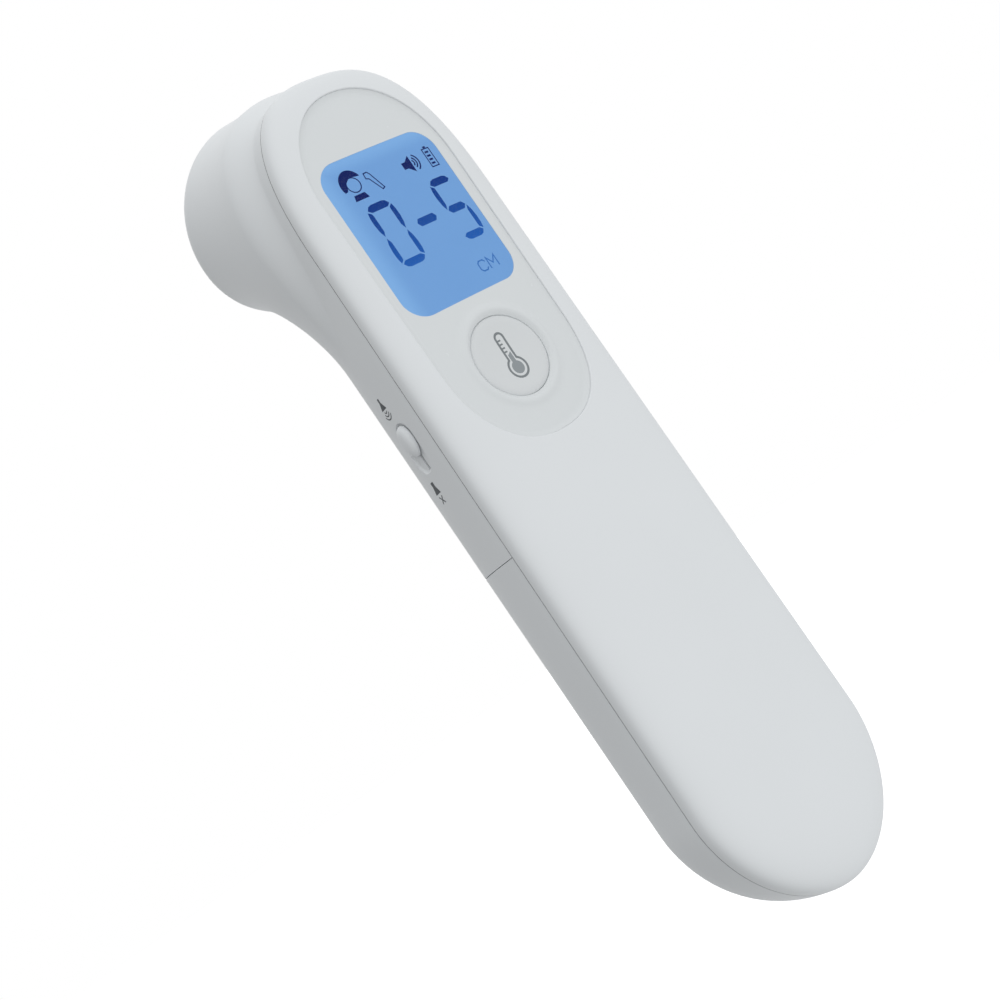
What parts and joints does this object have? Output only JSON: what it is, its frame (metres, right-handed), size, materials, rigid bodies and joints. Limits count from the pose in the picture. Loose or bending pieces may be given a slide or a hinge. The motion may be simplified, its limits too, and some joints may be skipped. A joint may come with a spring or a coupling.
{
  "type": "infrared forehead thermometer",
  "caption": "Hand-held non-contact forehead thermometer: wand-shaped housing with a rear nose, lit display, measuring button, mute slide and sliding battery cover.",
  "frame": {"origin": "bottom centre of the whole thermometer's bounding box: on the handle's mid-plane, at the height of the tail's lowest point, half way between the front face and the nose's tip; the shells part 16.31 mm in front of it", "axes": "+X to the right of a user facing the display, -Y out of the display, +Y towards the nose, +Z along the handle from the tail to the head"},
  "size_m": [0.0424, 0.0426, 0.163],
  "materials": {
    "housing_white": "fine satin moulded ABS, cool white",
    "faceplate_white": "glossier light grey-white plate",
    "button_white": "satin light grey-white key",
    "clear_window": "clear acrylic",
    "display_blue": "lit blue liquid crystal display",
    "light_guide": "milky acrylic",
    "bezel_white": "moulded",
    "zebra_rubber": "layered silicone",
    "board_green": "solder mask",
    "black_plastic": "moulded",
    "insert_grey": "dark moulded funnel",
    "steel": "nickel-plated",
    "brass": "turned",
    "infrared_filter": "coated silicon",
    "capacitor_sleeve": "shrink sleeve",
    "cell_jacket": "plain printed jacket",
    "tray_white": "moulded",
    "wire_red": "insulated wire",
    "wire_black": "insulated wire",
    "wire_yellow": "insulated wire"
  },
  "bodies": {
    "housing": {"battery_bridge": "steel", "battery_contact_left": "steel", "battery_contact_right": "steel", "battery_left": "cell_jacket", "battery_right": "cell_jacket", "battery_spring_left": "steel", "battery_spring_right": "steel", "battery_tray": "tray_white", "battery_wire_black": "wire_black", "battery_wire_red": "wire_red", "buzzer": "black_plastic", "capacitor_left": "capacitor_sleeve", "capacitor_right": "capacitor_sleeve", "case_screw_1": "steel", "case_screw_2": "steel", "clock_crystal": "steel", "display_faceplate": "faceplate_white", "display_window": "clear_window", "front_cover": "housing_white", "lcd_backlight": "light_guide", "lcd_bezel": "bezel_white", "lcd_glass": "display_blue", "main_pcb": "board_green", "mcu_chip": "black_plastic", "measure_tact_switch": "black_plastic", "mute_switch_body": "steel", "nose_insert": "insert_grey", "pcb_screw_1": "steel", "pcb_screw_2": "steel", "pcb_screw_3": "steel", "pcb_screw_4": "steel", "rear_cover": "housing_white", "sensor_can": "steel", "sensor_holder": "brass", "sensor_pcb": "board_green", "sensor_window": "infrared_filter", "sensor_wire_black": "wire_black", "sensor_wire_red": "wire_red", "sensor_wire_yellow": "wire_yellow", "zebra_connector": "zebra_rubber"},
    "measure_key": {"measure_button": "button_white", "measure_tact_plunger": "bezel_white"},
    "mute_switch": {"mute_switch_knob": "housing_white", "mute_switch_lever": "black_plastic"},
    "battery_door": {"battery_cover": "housing_white"}
  },
  "joints": [
    {"name": "measure_button_press", "type": "slide", "parent": "housing", "child": "measure_key", "axis": [0, 1, 0], "range_m": [0, 0.0004], "stiffness_N_per_m": 600},
    {"name": "mute_switch_slide", "type": "slide", "parent": "housing", "child": "mute_switch", "axis": [0, 0, -1], "range_m": [0, 0.0024]},
    {"name": "battery_cover_slide", "type": "slide", "parent": "housing", "child": "battery_door", "axis": [0, 0, -1], "range_m": [0, 0.075]}
  ]
}
